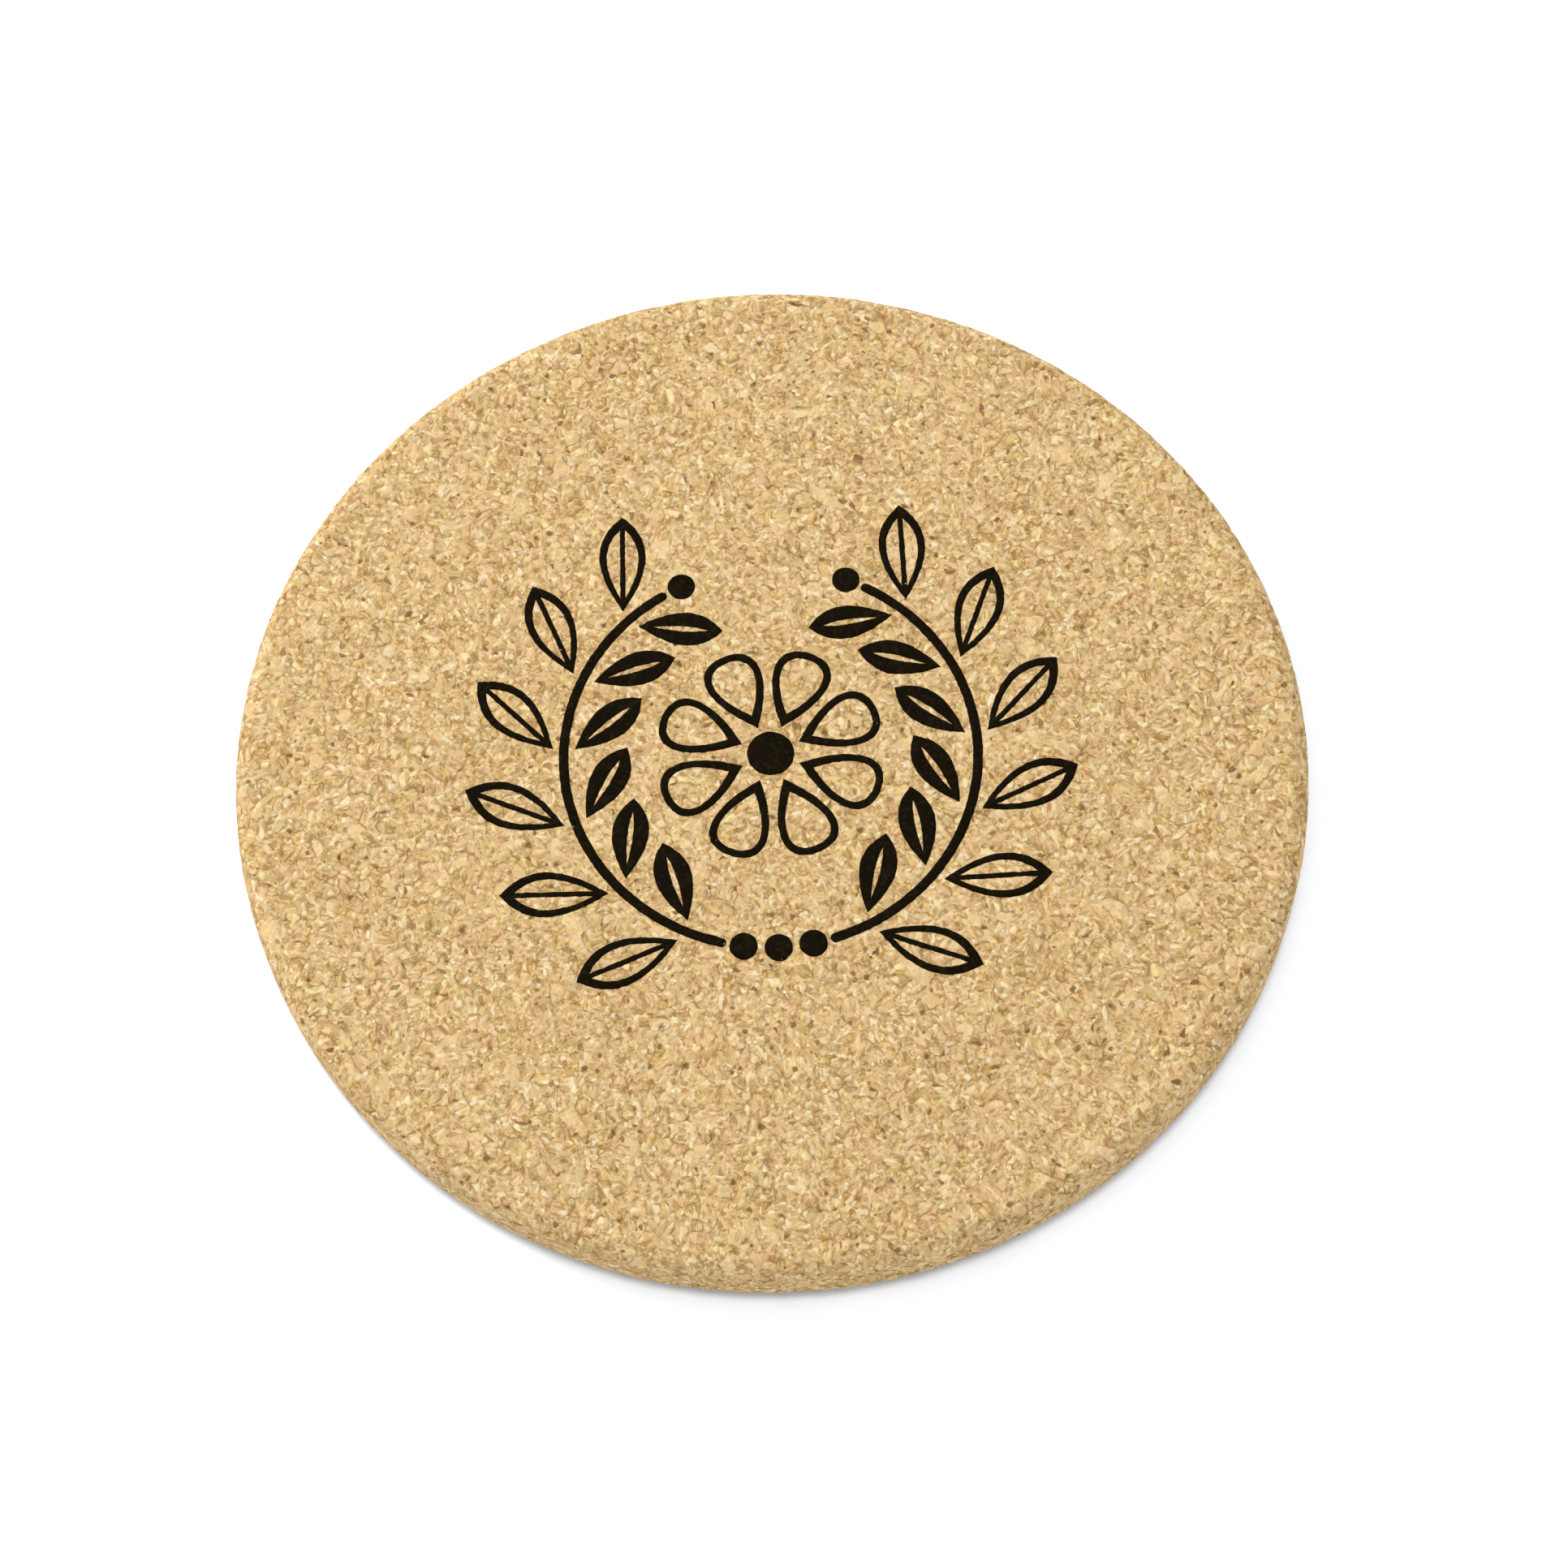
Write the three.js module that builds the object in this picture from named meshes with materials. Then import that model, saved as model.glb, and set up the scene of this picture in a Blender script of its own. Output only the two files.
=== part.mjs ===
// Round cork coaster with a printed wreath.
//
// A disc of pressed cork granules, with both rims rounded, lies flat on the table. A matt black print
// sits on its top face: a blossom inside a wreath of two leafy sprigs. Each patch of ink that touches
// no other is a film of its own, bonded face to face to the cork.
//
// Units are millimetres and +Z is up. The origin is the centre of the underside, +Y is the far side,
// and the wreath opens towards +Y.

import * as THREE from "three";

// Cork disc
const DISC_DIAMETER = 100;
const DISC_THICKNESS = 7;
const TOP_EDGE_RADIUS = 2;
const BASE_EDGE_RADIUS = 2;

// Ink
const INK_THICKNESS = 0.1;
const INK_GAP = 0.6; // bare cork between neighbouring films
const OUTLINE_WIDTH = 0.7; // pen line round the petals and the outer leaves
const VEIN_WIDTH = 0.5; // a leaf's midrib: inked on outer leaves, left bare on inner ones

// Blossom
const PETAL_COUNT = 8;
const PETAL_LENGTH = 8;
const PETAL_WIDTH = 5.4;
const HEART_RADIUS = 2.2;

// Wreath: angles are in degrees, and run up each side from the bottom of the wreath
const WREATH_CLEARANCE = 1.4; // bare ring between the petals and the inner leaves
const STEM_WIDTH = 0.9;
const STEM_END_ANGLE = 150;
const LEAF_LEAN_ANGLE = 48; // between a leaf and the stem that it grows along
const OUTER_LEAF_LENGTH = 10;
const OUTER_LEAF_WIDTH = 4.4;
const INNER_LEAF_LENGTH = 8;
const INNER_LEAF_WIDTH = 3.4;
const BERRY_RADIUS = 1.3;
const KNOT_BERRY_COUNT = 3; // in a row at the bottom, between the two stems

// Share of a leaf's or a petal's length at which each handle of its Bezier edge stands
const LEAF_HANDLES = [0.45, 0.75];
const PETAL_HANDLES = [0.55, 1];
const BEZIER_PEAK = 3 / 4; // height of a cubic's arch over the height of its two handles

// Facets
const DISC_SEGMENTS = 96;
const EDGE_SEGMENTS = 3;
const INK_SEGMENTS = 8;

// Finishes
const CORK_FINISH = { color: 0xd7b680, roughness: 0.95, metalness: 0 };
const INK_FINISH = { color: 0x1a140c, roughness: 0.8, metalness: 0 };

// Places that follow from the sizes, worked outwards from the blossom's heart
const leafLean = THREE.MathUtils.degToRad(LEAF_LEAN_ANGLE);
const petalRoot = Math.max(
  HEART_RADIUS + INK_GAP,
  (PETAL_WIDTH + INK_GAP) / (2 * Math.tan(Math.PI / PETAL_COUNT)) - PETAL_HANDLES[0] * PETAL_LENGTH,
);
const blossomRadius = petalRoot + PETAL_LENGTH;
const leafFoot = STEM_WIDTH / 2 + INK_GAP; // from the stem's middle line to a leaf's pointed foot
const innerLeafReach = INNER_LEAF_LENGTH * Math.sin(leafLean);
const outerLeafReach = OUTER_LEAF_LENGTH * Math.sin(leafLean);
const stemRadius = blossomRadius + WREATH_CLEARANCE + innerLeafReach + leafFoot;
const printRadius = Math.hypot(
  stemRadius + leafFoot + outerLeafReach,
  OUTER_LEAF_LENGTH * Math.cos(leafLean),
);
const berryStep = (2 * BERRY_RADIUS + INK_GAP) / stemRadius; // angle from berry to berry
const stemStart = (KNOT_BERRY_COUNT * berryStep) / 2 + STEM_WIDTH / 2 / stemRadius;
const stemEnd = THREE.MathUtils.degToRad(STEM_END_ANGLE);
const leafStep =
  Math.max(
    (OUTER_LEAF_WIDTH + INK_GAP) / stemRadius,
    (INNER_LEAF_WIDTH + INK_GAP) / (stemRadius - leafFoot - innerLeafReach / 2),
  ) / Math.sin(leafLean);
const leafPairs = Math.floor((stemEnd - stemStart) / leafStep);

function mesh(name, geometry, finish) {
  const made = new THREE.Mesh(geometry, new THREE.MeshStandardMaterial(finish));
  made.name = name;
  return made;
}

// The disc is one profile turned about the axis. Its top face has an edge round the printed area.
function corkDisc() {
  const radius = DISC_DIAMETER / 2;
  const profile = new THREE.Path();
  profile.moveTo(0, 0);
  profile.lineTo(radius - BASE_EDGE_RADIUS, 0);
  profile.absarc(radius - BASE_EDGE_RADIUS, BASE_EDGE_RADIUS, BASE_EDGE_RADIUS, -Math.PI / 2, 0);
  profile.lineTo(radius, DISC_THICKNESS - TOP_EDGE_RADIUS);
  profile.absarc(
    radius - TOP_EDGE_RADIUS,
    DISC_THICKNESS - TOP_EDGE_RADIUS,
    TOP_EDGE_RADIUS,
    0,
    Math.PI / 2,
  );
  profile.lineTo(printRadius + INK_GAP, DISC_THICKNESS);
  profile.lineTo(0, DISC_THICKNESS);
  const geometry = new THREE.LatheGeometry(profile.getPoints(EDGE_SEGMENTS), DISC_SEGMENTS);
  return mesh("cork_disc", geometry.rotateX(Math.PI / 2), CORK_FINISH);
}

// A film of ink: a flat shape with the ink's thickness, lying on the plane z = 0.
function film(name, shape) {
  const settings = { depth: INK_THICKNESS, bevelEnabled: false, curveSegments: INK_SEGMENTS };
  return mesh(name, new THREE.ExtrudeGeometry(shape, settings), INK_FINISH);
}

// An arched edge from (x0, base) to (x1, base) whose crown lies at height peak.
function arch(path, x0, x1, base, peak, handles) {
  const height = base + (peak - base) / BEZIER_PEAK;
  const [first, second] = handles.map((share) => x0 + (x1 - x0) * share);
  path.bezierCurveTo(first, height, second, height, x1, base);
}

// A closed blade along +X, drawn anticlockwise: an arch of half the width below, and its mirror image back.
function blade(path, x0, x1, width, handles) {
  path.moveTo(x0, 0);
  arch(path, x0, x1, 0, -width / 2, handles);
  const mirrored = handles.map((share) => 1 - share).reverse();
  arch(path, x1, x0, 0, width / 2, mirrored);
  return path;
}

// One half of a leaf's open face, between its midrib and its outline, on the side given by its sign.
function lobe(length, width, side) {
  const inset = 2 * OUTLINE_WIDTH;
  const [x0, x1, base] = [inset, length - inset, (side * VEIN_WIDTH) / 2];
  const path = new THREE.Path().moveTo(x0, base);
  arch(path, x0, x1, base, side * (width / 2 - OUTLINE_WIDTH), LEAF_HANDLES);
  return path.lineTo(x0, base);
}

function outlinedLeaf(length, width) {
  const leaf = blade(new THREE.Shape(), 0, length, width, LEAF_HANDLES);
  leaf.holes.push(lobe(length, width, 1), lobe(length, width, -1));
  return leaf;
}

function solidLeaf(length, width) {
  const leaf = blade(new THREE.Shape(), 0, length, width, LEAF_HANDLES);
  const inset = 2 * OUTLINE_WIDTH;
  leaf.holes.push(blade(new THREE.Path(), inset, length - inset, VEIN_WIDTH, LEAF_HANDLES));
  return leaf;
}

function outlinedPetal() {
  const petal = blade(new THREE.Shape(), 0, PETAL_LENGTH, PETAL_WIDTH, PETAL_HANDLES);
  const [x0, x1] = [2 * OUTLINE_WIDTH, PETAL_LENGTH - OUTLINE_WIDTH];
  const open = PETAL_WIDTH - 2 * OUTLINE_WIDTH;
  petal.holes.push(blade(new THREE.Path(), x0, x1, open, PETAL_HANDLES));
  return petal;
}

function dot(radius) {
  return new THREE.Shape().absarc(0, 0, radius, 0, 2 * Math.PI);
}

function blossom() {
  const group = new THREE.Group();
  group.add(film("ink_blossom_heart", dot(HEART_RADIUS)));
  for (let i = 0; i < PETAL_COUNT; i++) {
    const turn = new THREE.Group();
    turn.rotation.z = Math.PI / 2 - ((i + 0.5) * 2 * Math.PI) / PETAL_COUNT;
    const petal = film(`ink_petal_${i + 1}`, outlinedPetal());
    petal.position.x = petalRoot;
    turn.add(petal);
    group.add(turn);
  }
  return group;
}

// A round-ended stroke along the wreath's circle, between two angles counted from +X.
function stem(from, to) {
  const half = STEM_WIDTH / 2;
  const end = (angle) => [stemRadius * Math.cos(angle), stemRadius * Math.sin(angle), half];
  const stroke = new THREE.Shape();
  stroke.absarc(0, 0, stemRadius + half, from, to);
  stroke.absarc(...end(to), to, to + Math.PI);
  stroke.absarc(0, 0, stemRadius - half, to, from, true);
  stroke.absarc(...end(from), from + Math.PI, from + 2 * Math.PI);
  return stroke;
}

function berry(name, angle) {
  const made = film(name, dot(BERRY_RADIUS));
  made.position.set(stemRadius * Math.cos(angle), stemRadius * Math.sin(angle), 0);
  return made;
}

// One sprig: a stem with leaf pairs and a berry at its tip. The side is 1 on +X and -1 on -X.
function sprig(name, side) {
  const group = new THREE.Group();
  const at = (angle) => side * angle - Math.PI / 2;
  const ends = [at(stemStart), at(stemEnd)].sort((a, b) => a - b);
  group.add(film(`ink_stem_${name}`, stem(...ends)));
  group.add(berry(`ink_tip_berry_${name}`, at(stemEnd + berryStep / 2 + STEM_WIDTH / 2 / stemRadius)));
  for (let i = 0; i < leafPairs; i++) {
    const turn = new THREE.Group(); // its +X points outwards, through the leaf pair's place on the stem
    turn.rotation.z = at(stemStart + (i + 0.5) * ((stemEnd - stemStart) / leafPairs));
    const outer = film(`ink_outer_leaf_${name}_${i + 1}`, outlinedLeaf(OUTER_LEAF_LENGTH, OUTER_LEAF_WIDTH));
    outer.position.x = stemRadius + leafFoot;
    outer.rotation.z = side * (Math.PI / 2 - leafLean);
    const inner = film(`ink_inner_leaf_${name}_${i + 1}`, solidLeaf(INNER_LEAF_LENGTH, INNER_LEAF_WIDTH));
    inner.position.x = stemRadius - leafFoot;
    inner.rotation.z = side * (Math.PI / 2 + leafLean);
    turn.add(outer, inner);
    group.add(turn);
  }
  return group;
}

function knot() {
  const group = new THREE.Group();
  for (let i = 0; i < KNOT_BERRY_COUNT; i++) {
    const angle = (i - (KNOT_BERRY_COUNT - 1) / 2) * berryStep - Math.PI / 2;
    group.add(berry(`ink_knot_berry_${i + 1}`, angle));
  }
  return group;
}

const print = new THREE.Group();
print.position.z = DISC_THICKNESS;
print.add(blossom(), sprig("right", 1), sprig("left", -1), knot());

const coaster = new THREE.Group();
coaster.add(corkDisc(), print);

export default coaster;
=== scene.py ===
"""Dresses a round cork coaster with a printed wreath: granular cork with real relief, and ink lying in it.

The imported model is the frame. The cork disc is pressed again from fine quads, sunk along its grooves and
pits, and coloured by the same granules. Each printed patch is cut again from its own outline and laid on
the granules under it.
"""

import math

import bmesh
import bpy
import numpy as np
from bpy.props import FloatProperty, FloatVectorProperty, IntProperty, PointerProperty
from mathutils import Matrix, Vector, geometry, noise
from mathutils.bvhtree import BVHTree


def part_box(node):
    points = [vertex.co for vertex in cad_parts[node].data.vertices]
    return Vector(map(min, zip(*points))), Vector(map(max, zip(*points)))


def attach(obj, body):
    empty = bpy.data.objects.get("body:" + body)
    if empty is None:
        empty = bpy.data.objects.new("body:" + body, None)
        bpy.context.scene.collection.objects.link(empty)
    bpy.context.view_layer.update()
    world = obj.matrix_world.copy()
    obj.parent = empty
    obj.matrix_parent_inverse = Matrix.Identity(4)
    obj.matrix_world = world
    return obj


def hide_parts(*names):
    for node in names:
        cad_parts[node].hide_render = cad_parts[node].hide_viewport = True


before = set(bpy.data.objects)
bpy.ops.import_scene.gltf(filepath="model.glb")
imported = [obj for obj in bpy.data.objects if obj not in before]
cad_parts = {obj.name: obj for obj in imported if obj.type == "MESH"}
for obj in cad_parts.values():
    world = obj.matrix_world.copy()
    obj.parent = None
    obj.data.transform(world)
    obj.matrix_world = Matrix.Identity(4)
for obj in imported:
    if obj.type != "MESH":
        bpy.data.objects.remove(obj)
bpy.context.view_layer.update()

bl_info = {
    "name": "Cork coaster",
    "version": (1, 0, 0),
    "blender": (4, 5, 0),
    "location": "View3D > Sidebar > Coaster",
    "description": "Builds a cork coaster with a printed wreath round its packed frame",
    "category": "Add Mesh",
}

BODY = "root"
CORK_NODE = "cork_disc"
DISC = "pressed_disc"
MATT_INK = "matt_ink"
PLACE = "granule_place"  # attribute: where a point lay before the surface was sunk
BAKE_MAP = "OFBake"  # the disc's own map for its baked colours
MM = 0.001
SAME = 1e-6  # metres: corners closer than this are one corner
UPWARD = 0.5  # a face looks up if the height of its normal is above this
GENTLE = math.radians(40)  # a printed edge is curved through bends below this
QUARTER = math.pi / 2
MIDDLE = 0.5  # of a chance or of noise, which run from 0 to 1

# Chances or noise at which each mask is absent and full
OPEN_GROOVES = (0.52, 0.66)
OPEN_SEAMS = (0.5, 0.64)
DARK_SPECKS = (0.61, 0.74)
PALE_FLAKES = (0.72, 0.95)
PINK_CHIPS = (0.6, 1)
PINK_SLIVERS = (0.6, 0.95)
HONEY_SLIVERS = (0.25, 0.75)
DUN_SLIVERS = (0.4, 0.05)
THIN_ON_SLIVERS = (0.5, 1)
THIN_ON_FIBRES = (0.5, 0.8)
OPEN_FLOOR = (0.4, 0.75)


def tint(red, green, blue):
    """A colour as seen on screen, from 0 to 255, as linear light."""
    shares = [channel / 255 for channel in (red, green, blue)]
    return tuple(s / 12.92 if s <= 0.04045 else ((s + 0.055) / 1.055) ** 2.4 for s in shares)


def number(name, description, default, unit="NONE"):
    """A setting that is a plain number, or has one of Blender's other units."""
    return FloatProperty(name=name, description=description, default=default, unit=unit)


def whole_number(name, description, default):
    """A setting that is a whole number of 1 or more."""
    return IntProperty(name=name, description=description, default=default, min=1)


def length(name, description, default):
    """A setting in metres."""
    return FloatProperty(name=name, description=description, default=default, unit="LENGTH", precision=5)


def share(name, description, default):
    """A setting from 0 to 1."""
    return FloatProperty(
        name=name, description=description, default=default, min=0, max=1, subtype="FACTOR"
    )


def colour(name, description, default):
    """A setting that is a colour in linear light."""
    return FloatVectorProperty(
        name=name, description=description, default=default, size=3, min=0, max=1, subtype="COLOR"
    )


def angle(name, description, degrees):
    """A setting that is an angle."""
    return FloatProperty(name=name, description=description, default=math.radians(degrees), unit="ROTATION")


class CorkSettings(bpy.types.PropertyGroup):
    """Sizes and shares of the cork's granules."""

    chip_size: length("Chip size", "Usual width of a cork chip", 1.3 * MM)
    sliver_size: length("Sliver size", "Usual width of the slivers that most chips break into", 0.38 * MM)
    sliver_blur: share("Sliver blur", "How far the tones of neighbouring slivers run together", 0.45)
    sliver_stretch: number("Sliver stretch", "Length of a sliver over its width", 2.4)
    sliver_round: length("Sliver round", "Width over which a sliver's edge rounds off", 0.14 * MM)
    bend: length("Bend", "How far the chips' edges wander", 0.4 * MM)
    bend_span: length("Bend span", "Distance over which an edge wanders once", 0.9 * MM)
    fray: length("Fray", "How far the slivers' edges wander", 0.14 * MM)
    fray_span: length("Fray span", "Distance over which a sliver's edge wanders once", 0.3 * MM)
    groove_width: length("Groove width", "Half the width of a groove between chips", 0.16 * MM)
    groove_depth: length("Groove depth", "Depth of a groove between chips", 0.1 * MM)
    groove_span: length("Groove span", "Usual distance between the open stretches of the grooves", 1.1 * MM)
    level: length("Level", "How much lower the deepest chips lie than the highest", 0.06 * MM)
    seam_width: length("Seam width", "Half the width of a dark seam between slivers", 0.15 * MM)
    seam_span: length("Seam span", "Usual distance between the dark stretches of the seams", 0.6 * MM)
    speck_span: length("Speck span", "Distance over which the dark specks come and go", 0.5 * MM)
    pit_spacing: length("Pit spacing", "Usual distance between the pits", 2.0 * MM)
    pit_size: length("Pit size", "Half the width of the widest pits", 0.5 * MM)
    pit_depth: length("Pit depth", "Depth of the pits that lost granules leave", 0.24 * MM)
    pit_floor: share("Pit floor", "Share of a pit's width that lies at its full depth", 0.4)
    mottle_size: length("Mottle size", "Distance over which a chip's tone and height vary", 0.28 * MM)
    mottle_height: length("Mottle height", "How far a chip's height varies", 0.05 * MM)
    low_crown: length("Low crown", "Height of the flattest slivers' middles", 0.01 * MM)
    crown_spread: length("Crown spread", "How much higher the roundest slivers' middles are", 0.03 * MM)
    whole: share("Whole chips", "Share of the chips that stay in one piece", 0.045)
    bark: share("Bark", "Share of the slivers that are bark", 0.0022)
    crumbs: share("Crumbs", "Share of the slivers that are dark crumbs", 0.025)
    skin_step: length("Skin step", "Width of the quads that the relief is cut from", 0.25 * MM)
    most_triangles: whole_number("Most triangles", "Triangles left in the skin", 190000)


class FinishSettings(bpy.types.PropertyGroup):
    """Colours of the cork, and how strongly each of them shows."""

    deep_tone: colour("Deep tone", "Darkest slivers", tint(184, 143, 86))
    low_tone: colour("Low tone", "Darker slivers", tint(214, 177, 122))
    main_tone: colour("Main tone", "Most slivers", tint(234, 199, 148))
    high_tone: colour("High tone", "Paler slivers", tint(248, 218, 169))
    pale_tone: colour("Pale tone", "Palest slivers", tint(255, 237, 196))
    balance: share("Balance", "Where a plain sliver lies between the darkest and the palest", 0.51)
    sliver_contrast: share("Sliver contrast", "How far apart the slivers' tones lie", 0.8)
    flake_lift: share("Flake lift", "How much paler the flakes are than their neighbours", 0.25)
    mottle_contrast: number("Mottle contrast", "How far the tone varies inside a sliver", 1.2)
    chip_contrast: share("Chip contrast", "How far apart the chips' tones lie", 0.12)
    whole_calm: share("Whole calm", "How much evener a whole chip is than a broken one", 0.55)
    whole_lift: share("Whole lift", "How much paler a whole chip is than a broken one", 0.12)
    honey_cast: colour("Honey cast", "Filter over the yellowest slivers", (1.0, 0.985, 0.76))
    blush_tone: colour("Blush tone", "Pinkish slivers", tint(245, 199, 150))
    chip_blush: share("Chip blush", "Strength of the blush on pinkish chips", 0.28)
    sliver_blush: share("Sliver blush", "Strength of the blush on pinkish slivers", 0.42)
    dun_tone: colour("Dun tone", "Greyish slivers", tint(212, 185, 132))
    dun: share("Dun", "Strength of the dun tone on greyish slivers", 0.75)
    # Painted shade: the seams, specks and grooves are darkened to this colour, standing in for the shade in
    # the crevices between chips and slivers
    painted_crevice_shade: colour("Groove tone", "Shade at the bottom of the grooves", tint(152, 107, 48))
    groove: share("Groove", "Strength of the shade in the grooves", 0.7)
    seam: share("Seam", "Strength of the shade along the seams", 0.56)
    speck: share("Speck", "Strength of the shade in the specks", 0.5)
    crumb_tone: colour("Crumb tone", "Dark crumbs", tint(114, 76, 36))
    pale_crumb: share("Pale crumb", "Strength of the palest crumbs", 0.3)
    crumb_spread: share("Crumb spread", "How much stronger the darkest crumbs are", 0.5)
    bark_tone: colour("Bark tone", "Flecks of bark", tint(130, 70, 38))
    bark: share("Bark", "Strength of the flecks of bark", 0.8)
    # Painted shade: the pits, which the relief already sinks, are darkened to this colour for the shade
    # inside them
    painted_pit_shade: colour("Pit tone", "Shade inside the pits", tint(122, 82, 36))
    pit: share("Pit", "Strength of the shade inside the pits", 0.8)
    roughness: share("Roughness", "Usual roughness of the cork", 0.88)
    roughness_spread: share("Roughness spread", "How far the roughness varies inside a sliver", 0.2)
    specular: share("Specular", "Strength of the cork's gloss", 0.2)


class InkSettings(bpy.types.PropertyGroup):
    """Sizes and colours of the print."""

    edge_step: length("Edge step", "Distance between the points of a printed edge", 0.14 * MM)
    fill_step: length("Fill step", "Distance between the points inside a printed patch", 0.24 * MM)
    edge_wander: length("Edge wander", "How far a printed edge strays over the granules", 0.05 * MM)
    wander_span: length("Wander span", "Distance over which a printed edge strays once", 0.5 * MM)
    wander_seed: whole_number("Wander seed", "Picks one set of strays", 1)
    coat: length("Coat", "Height of the ink above the cork under it", 0.06 * MM)
    edge_coat: length("Edge coat", "Height of the ink along its edges", 0.02 * MM)
    soak: length("Soak", "Depth to which the ink soaks into the cork", 0.1 * MM)
    crown: length("Crown", "Height to which the ink rounds over a sliver", 0.04 * MM)
    fibre_span: length("Fibre span", "Distance over which the ink's thickness varies", 0.25 * MM)
    fibre_height: length("Fibre height", "How far the ink's surface rises and falls", 0.03 * MM)
    tone: colour("Ink", "Main ink colour", tint(20, 14, 4))
    worn_tone: colour("Thin ink", "Ink colour where it lies thin", tint(41, 33, 17))
    roughness: share("Roughness", "Roughness of the thickest ink", 0.7)
    roughness_spread: share("Roughness spread", "How much rougher the thinnest ink is", 0.2)
    specular: share("Specular", "Strength of the ink's gloss", 0.04)


class StageSettings(bpy.types.PropertyGroup):
    """The camera, the lights and the floor."""

    elevation: angle("Elevation", "Camera's height angle above the table", 66.885)
    roll: angle("Roll", "Camera's turn about its line of sight", -2.482)
    distance: length("Distance", "From the camera to the point it looks at", 346.24 * MM)
    aim: FloatVectorProperty(
        name="Aim",
        description="Point that the camera looks at, from the middle of the disc",
        default=(1.114 * MM, -1.661 * MM, 0.0),
        subtype="TRANSLATION",
    )
    lens: number("Lens", "Focal length in millimetres", 85, "CAMERA")
    nearest: length("Nearest", "Distance from which the camera shows things", 0.01)
    key_turn: angle("Key turn", "Compass angle of the key light, from +X towards +Y", 140)
    key_rise: angle("Key rise", "Height angle of the key light", 34)
    key_distance: length("Key distance", "From the disc to the key light", 0.8)
    key_size: length("Key size", "Width of the key light's panel", 0.35)
    key_power: number("Key power", "Power of the key light", 2.86, "POWER")
    sky: number("Sky", "Brightness of the even light from all round", 0.75)
    floor_size: length("Floor size", "Width of the floor", 3.0)
    floor_tone: colour("Floor", "Colour of the floor as the lamps light it", (0.8, 0.8, 0.8))
    shade_tone: colour("Shade", "Colour that the camera sees in the floor's shadow", (0.79, 0.87, 0.98))
    floor_lift: number("Floor lift", "How much brighter the camera sees the floor", 1.9)
    contact_reach: length("Contact reach", "Distance within which the disc deepens its shadow", 1.6 * MM)
    contact_shade: share("Contact shade", "How much of the floor's brightness is left under the rim", 0.42)


class Wire:
    """An output socket. Arithmetic with it adds Math nodes to its tree."""

    def __init__(self, tree, socket):
        self.tree = tree
        self.socket = socket

    def out(self, name):
        """Another output of the same node."""
        return Wire(self.tree, next(s for s in self.socket.node.outputs if s.name == name and s.enabled))

    def math(self, operation, *values):
        """A Math node on values in order."""
        return self.tree.node("ShaderNodeMath", {"operation": operation}, dict(enumerate(values)))

    def __add__(self, other):
        return self.math("ADD", self, other)

    def __radd__(self, other):
        return self.math("ADD", other, self)

    def __sub__(self, other):
        return self.math("SUBTRACT", self, other)

    def __rsub__(self, other):
        return self.math("SUBTRACT", other, self)

    def __mul__(self, other):
        return self.math("MULTIPLY", self, other)

    def __rmul__(self, other):
        return self.math("MULTIPLY", other, self)

    def __lt__(self, other):
        return self.math("LESS_THAN", self, other)

    def __gt__(self, other):
        return self.math("GREATER_THAN", self, other)


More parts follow.
